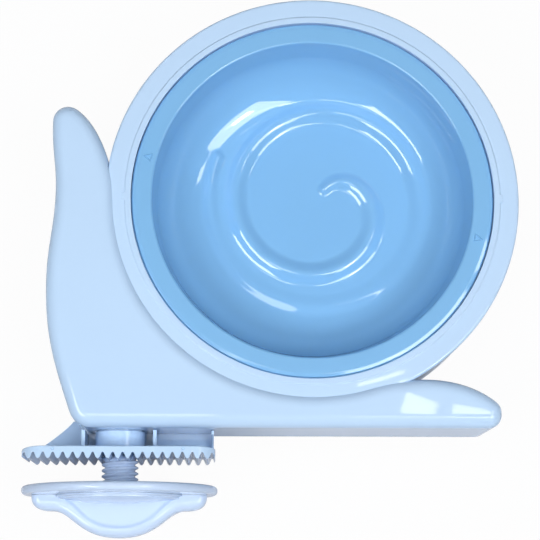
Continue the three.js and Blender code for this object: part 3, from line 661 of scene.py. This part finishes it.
def rim_marks():
    """Bars of two small raised triangles on the rim, which point outwards."""
    bars = []
    for bearing in RIM_MARK_BEARINGS:
        out = direction(bearing)
        across = np.array([-out[1], out[0]])
        middle = np.array([RING_X, RING_Y]) + RIM_MARK_RADIUS * out
        base = middle - RIM_MARK_BASE * out
        tips = [
            middle + RIM_MARK_TIP * out,
            base + RIM_MARK_HALF * across,
            base - RIM_MARK_HALF * across,
        ]
        for start, end in zip(tips, tips[1:] + tips[:1]):
            along = unit(end - start)
            side = BAR_HALF * np.array([-along[1], along[0]])
            run = BAR_RUN * along
            feet = [start - run - side, start - run + side, end + run + side, end + run - side]
            foot = [(x, y, RIM_TOP - 0.2) for x, y in feet]
            ridge = [(*start, RIM_TOP + BAR_TOP), (*end, RIM_TOP + BAR_TOP)]
            faces = [(0, 1, 2, 3), (0, 1, 4), (2, 3, 5), (1, 2, 5, 4), (3, 0, 4, 5)]
            bars.append(mesh_object("bar", foot + ridge, faces))
    return bars


def feeding_bowl():
    sides = 480
    floor_step = 0.55
    fillet = arc((WELL_FLOOR, BOWL_FLOOR + WELL_FILLET), WELL_FILLET, -90, -BOWL_DRAFT, 54)
    floor = [(r, BOWL_FLOOR) for r in np.arange(0.0, WELL_FLOOR - 0.3, floor_step)]
    outer_middle = (FLOOR_RADIUS, BOWL_FLOOR + BOWL_FILLET)
    outer_fillet = arc(outer_middle, BOWL_FILLET + BOWL_WALL, -BOWL_DRAFT, -90, 12)
    under = BOWL_FLOOR - BOWL_WALL
    foot = FLOOR_RADIUS - 2.3
    foot_inner = foot - FOOT_WIDTH
    flange = RIM_RADIUS + FLANGE_WIDTH
    rim = filleted([
        (fillet[-1][0], fillet[-1][1], 0),
        (WELL_RADIUS, RIM_TOP, 0.9),
        (RIM_RADIUS - RIM_SLOPE_WIDTH, RIM_TOP, 1.5),
        (RIM_RADIUS, RIM_TOP - RIM_SLOPE_DROP, 0.4),
        (RIM_RADIUS, RIM_TOP - FLANGE_DROP, 0.15),
        (flange, RIM_TOP - FLANGE_DROP - 0.1, 0.05),
        (flange, RIM_TOP - RIM_DEPTH, 0.4),
        (WELL_RADIUS + BOWL_WALL, RIM_TOP - RIM_DEPTH, 0.8),
        (outer_fillet[0][0], outer_fillet[0][1], 0),
    ], 6)[1:-1]
    feet = filleted([
        (foot + 1.0, under, 0), (foot, under, 0.6), (foot, under - FOOT_HEIGHT, 0.5),
        (foot_inner, under - FOOT_HEIGHT, 0.5), (foot_inner, under, 0.6), (0, under, 0),
    ], 4)[1:]
    profile = np.vstack([floor, fillet, rim, outer_fillet, feet])
    bowl = turned("bowl", profile, sides)
    places = np.empty(len(bowl.data.vertices) * 3)
    bowl.data.vertices.foreach_get("co", places)
    places = places.reshape(-1, 3) / MM
    near = np.hypot(places[:, 0], places[:, 1]) < BEAD_REACH
    inside = near & (places[:, 2] > BOWL_FLOOR - 0.01)
    places[inside, 2] += bead_height(places[inside, :2])
    bowl.data.vertices.foreach_set("co", (places * MM).ravel())
    at_ring(bowl)
    levels = (LUG_BOTTOM, LUG_TOP)
    lugs = []
    for middle in LUGS:
        lugs.append(sector("lug", LUG_INNER, LUG_OUTER, middle, LUG_WIDTH, *levels, 0.4))
    bowl = joined(bowl, lugs + rim_marks())
    return finished(bowl, "bowl", "feeding_bowl", bowl_plastic)


# Clamp jaw
TEETH = 19
TOOTH_PITCH = 3.87
TOOTH_DEPTH = 3.0
PLATE_SIDE = 38.0
PLATE_HALF = 20.5
PLATE_CORNER = 8.0
WEB_TOP = -9.5
WEB_SIDE = PLATE_SIDE - 0.6
GROOVE_BLUNT = 0.5
TIP_BLUNT = 0.85
TIP_LEVEL = -0.57
END_SLOPE = 2.5
BEND_FROM = 29.0
BEND_RUN = PLATE_SIDE - BEND_FROM
BEND_DROP_LEFT = 1.8
BEND_DROP_RIGHT = 1.0
JAW_RIB = 14.1
JAW_RIB_HALF = 0.75
JAW_RIB_TOP = 12.0
GUSSET_TOP = 9.0
GUSSET_WIDTH = 1.0
COMB_WIDTH = 2.0
SPIGOT_END = 14.95
BOSS_RADIUS = SPIGOT_RADIUS + 0.8
DIMPLE_SIDE = 25.4
DIMPLE_BACK = 3.9


def tooth_line():
    """Places along the plate with the depth of the tooth line there, blunt at tips and grooves."""
    slope = TOOTH_DEPTH / (TOOTH_PITCH / 2)
    line = []
    for i in range(2 * TEETH + 1):
        x = (i - TEETH) * TOOTH_PITCH / 2
        groove = i % 2 == 0
        base, sign, blunt = (TOOTH_DEPTH, -1, GROOVE_BLUNT) if groove else (TIP_LEVEL, 1, TIP_BLUNT)
        for step in (-1, -0.6, -0.25, 0.25, 0.6, 1):
            depth = base + sign * slope * blunt * (step * step + 1) / 2
            line.append((x + step * blunt, depth, 0.0))
    last = TEETH * TOOTH_PITCH / 2
    full = PLATE_SIDE - 0.4
    for side, shrink in ((full, 0.0), (PLATE_SIDE - 0.12, 0.12), (PLATE_SIDE, 0.4)):
        depth = TOOTH_DEPTH - END_SLOPE * (min(side, full) - last)
        line.insert(0, (-side, depth, shrink))
        line.append((side, depth, shrink))
    return line


def toothed_plate():
    rings = []
    for x, depth, shrink in tooth_line():
        over = max(abs(x) - (PLATE_SIDE - PLATE_CORNER), 0)
        half = PLATE_HALF - PLATE_CORNER + math.sqrt(max(PLATE_CORNER ** 2 - over ** 2, 0))
        bent = min(max((abs(x) - BEND_FROM) / BEND_RUN, 0.0), 1.0)
        bend_drop = BEND_DROP_LEFT if x < 0 else BEND_DROP_RIGHT
        drop = bend_drop * (1 - math.sqrt(1 - 0.98 * bent * bent))
        low, high = depth + shrink, PLATE_BACK - drop - shrink
        half -= shrink
        soft = min(2.0, 0.45 * (high - low))
        ring = filleted([
            (low, -half, soft), (high, -half, 0.5), (high, half, 0.5), (low, half, 0.35),
        ], 4)
        rings.append(np.c_[np.full(len(ring), x), ring])
    return loft("plate", rings)


def clamp_jaw():
    into = PLATE_BACK - 1
    web_middle = WEB_TOP - WALL / 2
    tip = np.array([-19.6, BODY_FRONT + 4.9])
    flare = -PLATE_SIDE + 3.5
    edge = bezier([(flare, PLATE_BACK), tip - (3, 4), tip], 0.6)
    loop = np.vstack([[(flare, into)], edge, [(WEB_SIDE, tip[1]), (WEB_SIDE, into)]])
    web = prism("web", loop, WEB_TOP - WALL, WEB_TOP)
    clear = -0.04
    room = slab("room", body_outline(1.2), [(clear, BOTTOM - 1), (clear, BODY_TOP + 1)])
    web = cut(web, [room])
    pieces = [web]
    for x in (-JAW_RIB, JAW_RIB):
        low = (x - JAW_RIB_HALF, into, web_middle)
        pieces.append(block("rib", low, (x + JAW_RIB_HALF, JAW_BACK, JAW_RIB_TOP), RIB_EDGE))
    curve = bezier([
        (JAW_BACK - 1.5, GUSSET_TOP), (PLATE_BACK + 1.5, WEB_TOP), (into, WEB_TOP + 1.5),
    ], 0.8)
    corner = [(into, web_middle), (JAW_BACK, web_middle), (JAW_BACK, GUSSET_TOP)]
    side = np.vstack([corner, curve])
    pieces.append(prism("gusset", side, WEB_SIDE - GUSSET_WIDTH, WEB_SIDE, 0.2, "YZX"))
    rear = JAW_BACK - COMB_WIDTH
    outer = JAW_RIB + JAW_RIB_HALF
    inner = JAW_RIB - JAW_RIB_HALF
    comb_end = WEB_SIDE - 1.5
    comb = [
        (-outer, into), (-inner, into), (-inner, rear), (inner, rear), (inner, into),
        (outer, into), (outer, rear), (comb_end, rear), (comb_end, JAW_BACK), (-outer, JAW_BACK),
    ]
    pieces.append(prism("comb", comb, BOTTOM + 0.6, web_middle, 0.2))
    boss = filleted([
        (0, into, 0), (BOSS_RADIUS, into, 0), (BOSS_RADIUS, JAW_BACK, 0.2),
        (SPIGOT_RADIUS, JAW_BACK, 0.2), (SPIGOT_RADIUS, SPIGOT_END, 0.4), (0, SPIGOT_END, 0),
    ])
    pieces.append(turned("boss", boss, 96, "Y"))
    pieces += [staked_pin(*place) for place in jaw_pins()]
    jaw = joined(toothed_plate(), pieces)
    bore = [(0, -2), (BORE_RADIUS, -2), (BORE_RADIUS, SPIGOT_END + 1), (0, SPIGOT_END + 1)]
    dimples = []
    for x in (-DIMPLE_SIDE, DIMPLE_SIDE):
        dimple = turned("dimple", [(0, -0.7), (0.25, -0.7), (0.75, 0.1), (0, 0.1)], 24)
        top = Vector((x, DIMPLE_BACK, PLATE_HALF))
        dimples.append(placed(dimple, Matrix.Translation(top * MM)))
    jaw = cut(jaw, [turned("bore", bore, 96, "Y"), *dimples])
    return finished(jaw, "holder", "clamp_jaw", holder_plastic)


# Screw with a coarse round-bottomed thread
THREAD_PITCH = 2.3
THREAD_ROOT = 6.0
SCREW_TIP = 23.65
SCREW_TIP_RADIUS = 5.6
SHOULDER = -10.4
SHOULDER_END = -9.6
THREAD_START = -9.3
THREAD_LEAD = 3.0
LEAD_SHARE = 0.35
TANG_HALF = 3.0


def thread_radius(height, angles):
    """Radius of the thread round a height, with a crest cut flat and a fading lead at the tip."""
    phase = (height / THREAD_PITCH - angles / (2 * math.pi)) % 1.0
    ridge = np.clip(1.35 * (0.5 + 0.5 * np.cos(2 * math.pi * phase)) - 0.12, 0, 1)
    lead = min(1.0, max(0.0, (SCREW_TIP - 0.4 - height) / THREAD_LEAD))
    fade = LEAD_SHARE + (1 - LEAD_SHARE) * lead
    return THREAD_ROOT + (SCREW_RADIUS - THREAD_ROOT) * ridge * fade


def clamp_screw():
    sides = 96
    angles = 2 * math.pi * np.arange(sides) / sides
    across = np.maximum(np.abs(np.sin(angles)), 1e-6)
    tang = np.minimum(NECK_RADIUS - 0.05, TANG_HALF / across)
    whole = np.ones(sides)
    rows = [
        (TANG_END, tang * 0.9),
        (TANG_END + 0.4, tang),
        (HUB_FRONT, tang),
        (HUB_FRONT, whole * NECK_RADIUS),
        (SHOULDER, whole * NECK_RADIUS),
        (SHOULDER, whole * SCREW_RADIUS),
        (SHOULDER_END, whole * SCREW_RADIUS),
    ]
    for height in np.arange(THREAD_START, SCREW_TIP - 0.2, THREAD_PITCH / 10):
        rows.append((height, thread_radius(height, angles)))
    rows += [(SCREW_TIP - 0.2, whole * THREAD_ROOT), (SCREW_TIP, whole * SCREW_TIP_RADIUS)]
    rings = []
    for height, radius in rows:
        level = np.full(sides, height)
        rings.append(np.c_[radius * np.cos(angles), level, -radius * np.sin(angles)])
    screw = loft("screw", rings)
    return finished(screw, "knob", "clamp_screw", clamp_plastic, 50)


# Pressure disc, with a round seat for the screw's shoulder
DISC_RADIUS = 39.0
DISC_EDGE = 1.6
SHOULDER_SEAT = 1.0


def pressure_disc():
    hole = NECK_RADIUS + JOINT_GAP
    profile = filleted([
        (hole, DISC_BACK, 0.3),
        (DISC_RADIUS, DISC_BACK, DISC_EDGE),
        (DISC_RADIUS, DISC_FRONT, DISC_EDGE),
        (BORE_RADIUS, DISC_FRONT, 0.3),
        (BORE_RADIUS, DISC_FRONT - SHOULDER_SEAT, 0),
        (hole, DISC_FRONT - SHOULDER_SEAT, 0),
    ], 8)
    disc = turned("disc", profile, 192, "Y")
    return finished(disc, "disc", "pressure_disc", clamp_plastic)


# Knob with a wing-shaped grip
WING_SPAN = 34.8
WING_LOBE = WING_SPAN * 0.76
WING_END = 6.2
WING_HEIGHT = 16.8
WING_THICKNESS = 12.0
WING_EDGE = 3.4
WING_BORDER = 4.0
HUMP_FOOT = 0.7
HUMP_CROWN = 0.62
# Inset from the outline of the recess, and level from the flat face of the grip
RECESS_LEVELS = (
    (1.7, -1.2), (1.0, -1.12), (0.5, -0.85), (0.15, -0.5), (-0.2, -0.2), (-0.7, 0.02), (-0.7, 2),
)
HUB_RADIUS = 24.5
HUB_STEP = 1.5
HUB_LEDGE = 0.7
HUB_LEDGE_RADIUS = HUB_RADIUS + 1.2
SOCKET_HALF_WIDTH = 5.3
SOCKET_HALF_HEIGHT = TANG_HALF + JOINT_GAP


def wing_outline():
    top = HUB_FRONT + 10
    end = HUB_FRONT - WING_END
    apex = HUB_FRONT - WING_HEIGHT
    drop = HUB_FRONT - WING_END * 0.75
    turn = WING_LOBE + (WING_SPAN - WING_LOBE) * 0.67
    crown = WING_LOBE * HUMP_CROWN
    half = np.vstack([
        bezier([(0, apex), (crown, apex), (WING_LOBE * HUMP_FOOT, end), (WING_LOBE, end)], 0.5),
        bezier([(WING_LOBE, end), (turn, end), (WING_SPAN, drop), (WING_SPAN, HUB_FRONT)], 0.5),
        np.array([(WING_SPAN, HUB_FRONT + 4), (WING_SPAN, top)]),
    ])
    return anticlockwise(chained([half, half[::-1] * (-1, 1)]))


def hub_dome(share):
    """Level of the domed hub at a share of its radius."""
    return HUB_BACK + (HUB_FRONT - HUB_BACK - HUB_STEP) * share ** 2


def wing_face():
    """Outline of the recess in the grip's faces, open towards the hub."""
    reach = WING_LOBE - WING_BORDER
    low = HUB_FRONT - WING_HEIGHT + WING_BORDER
    foot = (reach * HUMP_FOOT, HUB_BACK - 0.6)
    half = bezier([(0, low), (reach * HUMP_CROWN, low), foot, (reach, HUB_FRONT - 1.2)], 0.5)
    under = []
    for x in np.linspace(reach, 0, 30):
        under.append((x, min(hub_dome(x / HUB_RADIUS) + 1.9, HUB_FRONT + 0.5)))
    half = np.vstack([half, under])
    return anticlockwise(chained([half, half[::-1] * (-1, 1)]))


def wing_knob():
    flat = WING_THICKNESS / 2
    side = flat - WING_EDGE
    upper = rounded_levels(WING_EDGE, WING_EDGE, flat, 8)
    lower = [(amount, -height) for amount, height in reversed(upper)]
    grip = slab("grip", wing_outline(), lower + [(0.0, -side / 2), (0.0, side / 2)] + upper)
    face = wing_face()
    recess = [(amount, flat + level) for amount, level in RECESS_LEVELS]
    beneath = [(amount, -height) for amount, height in reversed(recess)]
    cutters = [slab("recess", face, recess), slab("recess", face, beneath)]
    cutters.append(block("ahead", (-FAR, HUB_FRONT, -FAR), (FAR, FAR, FAR)))
    grip = cut(grip, cutters)
    dome = [(HUB_RADIUS * share, hub_dome(share)) for share in np.linspace(0, 1, 25)]
    step = filleted([
        (HUB_RADIUS - 3, HUB_FRONT - HUB_STEP - 0.4, 0),
        (HUB_RADIUS, HUB_FRONT - HUB_STEP, 0.25),
        (HUB_RADIUS, HUB_FRONT - HUB_LEDGE, 0.2),
        (HUB_LEDGE_RADIUS, HUB_FRONT - HUB_LEDGE, 0.3),
        (HUB_LEDGE_RADIUS, HUB_FRONT, 0),
        (0, HUB_FRONT, 0),
    ])[1:]
    hub = turned("hub", dome[:-1] + [tuple(p) for p in step], 160, "Y")
    knob = joined(hub, [grip])
    low = (-SOCKET_HALF_WIDTH, TANG_END - JOINT_GAP, -SOCKET_HALF_HEIGHT)
    high = (SOCKET_HALF_WIDTH, HUB_FRONT + 1, SOCKET_HALF_HEIGHT)
    knob = cut(knob, [block("socket", low, high)])
    return finished(knob, "knob", "wing_knob", clamp_plastic)


snail_body()
shell_ring()
feeding_bowl()
clamp_jaw()
clamp_screw()
pressure_disc()
wing_knob()


# Floor, light and camera, in metres
FLOOR_HALF = 6.0
FLOOR_LEVEL = -0.0395
FLOOR_COLOUR = (0.64, 0.66, 0.71)
FLOOR_WHITE = 0.96
WORLD_COLOUR = (0.82, 0.89, 1.0)
WORLD_STRENGTH = 0.03
LAMP_TARGET = (0.06, 0.09, 0.0)
LAMP_DISTANCE = 1.5
# Name, bearing and rise from the target, width and height as shares of the distance, radiance.
# The fills light the object without a reflection of their own.
LAMPS = (
    ("key", -34, 58, 0.50, 0.42, 4.8),
    ("key_core", -36, 57, 0.14, 0.10, 12.0),
    ("front_left", -146, 52, 0.56, 0.32, 6.8),
    ("right", 4, 58, 0.10, 0.20, 4.5),
    ("strip", -90, 72, 1.30, 0.03, 2.0),
    ("front_fill", -90, 62, 1.40, 0.50, 0.25),
    ("overhead_fill", -90, 88, 0.80, 0.36, 4.2),
)
LOW_FRONT_PLACE = (0.03, -0.6, 0.06)
LOW_FRONT_HEADING = (math.radians(90), 0, 0)
LOW_FRONT_SIZE = (0.5, 0.08)
LOW_FRONT_RADIANCE = 1.0
PANE_LEVEL = 1.5
# Small lamps overhead that make the window-like reflections: name, place, turn, size, radiance
PANES = (
    ("left_soft", -0.105, -0.195, 0, 0.29, 0.40, 3.0),
    ("tail_pane_left", 0.2925, 0.174, -20, 0.041, 0.026, 7.0),
    ("tail_pane_right", 0.360, 0.168, -11, 0.052, 0.012, 7.0),
    ("ring_pane", 0.248, 0.204, 13, 0.062, 0.010, 7.0),
    ("edge_pane", 0.300, -0.391, 0, 0.180, 0.120, 7.0),
)
IMAGE_SIZE = 540
FOCAL_PIXELS = 1750
SENSOR = 36.0
CAMERA_PLACE = (0.036999, -0.051013, 0.703796)
CAMERA_TILT = (10.42581, -1.86693, 0.0)


def linked(name, data):
    made = bpy.data.objects.new(name, data)
    bpy.context.scene.collection.objects.link(made)
    return made


def floor_material():
    """A pale matte floor that keeps the shadow and that the camera sees as nearly white."""
    material = bpy.data.materials.new("floor")
    material.use_nodes = True
    nodes = material.node_tree.nodes
    links = material.node_tree.links
    nodes.clear()
    output = nodes.new("ShaderNodeOutputMaterial")
    matte = nodes.new("ShaderNodeBsdfDiffuse")
    matte.inputs["Color"].default_value = (*FLOOR_COLOUR, 1)
    white = nodes.new("ShaderNodeEmission")
    white.inputs["Strength"].default_value = 1.0
    path = nodes.new("ShaderNodeLightPath")
    seen = nodes.new("ShaderNodeMath")
    seen.operation = "MAXIMUM"
    share = nodes.new("ShaderNodeMath")
    share.operation = "MULTIPLY"
    share.inputs[1].default_value = FLOOR_WHITE
    mix = nodes.new("ShaderNodeMixShader")
    links.new(path.outputs["Is Camera Ray"], seen.inputs[0])
    links.new(path.outputs["Is Transmission Ray"], seen.inputs[1])
    links.new(seen.outputs[0], share.inputs[0])
    links.new(share.outputs[0], mix.inputs["Fac"])
    links.new(matte.outputs[0], mix.inputs[1])
    links.new(white.outputs[0], mix.inputs[2])
    links.new(mix.outputs[0], output.inputs["Surface"])
    return material


def pale_floor():
    half = FLOOR_HALF
    plan = [(-half, -half), (half, -half), (half, half), (-half, half)]
    corners = [(x, y, FLOOR_LEVEL) for x, y in plan]
    mesh = bpy.data.meshes.new("floor")
    mesh.from_pydata(corners, [], [(0, 1, 2, 3)])
    floor = linked("floor", mesh)
    mesh.materials.append(floor_material())


def soft_world():
    """Faint even light on the object, and white behind it for the camera."""
    world = bpy.data.worlds.new("studio")
    bpy.context.scene.world = world
    world.use_nodes = True
    nodes = world.node_tree.nodes
    links = world.node_tree.links
    nodes.clear()
    output = nodes.new("ShaderNodeOutputWorld")
    soft = nodes.new("ShaderNodeBackground")
    soft.inputs["Color"].default_value = (*WORLD_COLOUR, 1)
    soft.inputs["Strength"].default_value = WORLD_STRENGTH
    clear = nodes.new("ShaderNodeBackground")
    clear.inputs["Strength"].default_value = 1.0
    path = nodes.new("ShaderNodeLightPath")
    mix = nodes.new("ShaderNodeMixShader")
    links.new(path.outputs["Is Camera Ray"], mix.inputs["Fac"])
    links.new(soft.outputs[0], mix.inputs[1])
    links.new(clear.outputs[0], mix.inputs[2])
    links.new(mix.outputs[0], output.inputs["Surface"])


def lamp(name, place, heading, width, height, radiance):
    data = bpy.data.lights.new(name, "AREA")
    data.shape = "RECTANGLE"
    data.size = width
    data.size_y = height
    data.energy = radiance * math.pi * width * height
    made = linked(name, data)
    made.location = place
    made.rotation_euler = heading
    made.visible_camera = False
    return made


def studio_lamps():
    far = LAMP_DISTANCE
    for name, bearing, rise, width, height, radiance in LAMPS:
        level_way = direction(bearing) * math.cos(math.radians(rise))
        away = Vector((*level_way, math.sin(math.radians(rise))))
        heading = (-away).to_track_quat("-Z", "Y").to_euler()
        place = Vector(LAMP_TARGET) + far * away
        made = lamp(name, place, heading, far * width, far * height, radiance)
        made.visible_glossy = not name.endswith("fill")
    lamp("low_front", LOW_FRONT_PLACE, LOW_FRONT_HEADING, *LOW_FRONT_SIZE, LOW_FRONT_RADIANCE)
    for name, x, y, turn, width, height, radiance in PANES:
        lamp(name, (x, y, PANE_LEVEL), (0, 0, math.radians(turn)), width, height, radiance)


def photo_camera():
    data = bpy.data.cameras.new("camera")
    data.sensor_width = SENSOR
    data.lens = SENSOR * FOCAL_PIXELS / IMAGE_SIZE
    data.clip_start = 0.01
    data.clip_end = 50.0
    camera = linked("camera", data)
    camera.location = CAMERA_PLACE
    camera.rotation_euler = [math.radians(angle) for angle in CAMERA_TILT]
    bpy.context.scene.camera = camera


bpy.context.scene.view_settings.view_transform = "Standard"
pale_floor()
soft_world()
studio_lamps()
photo_camera()
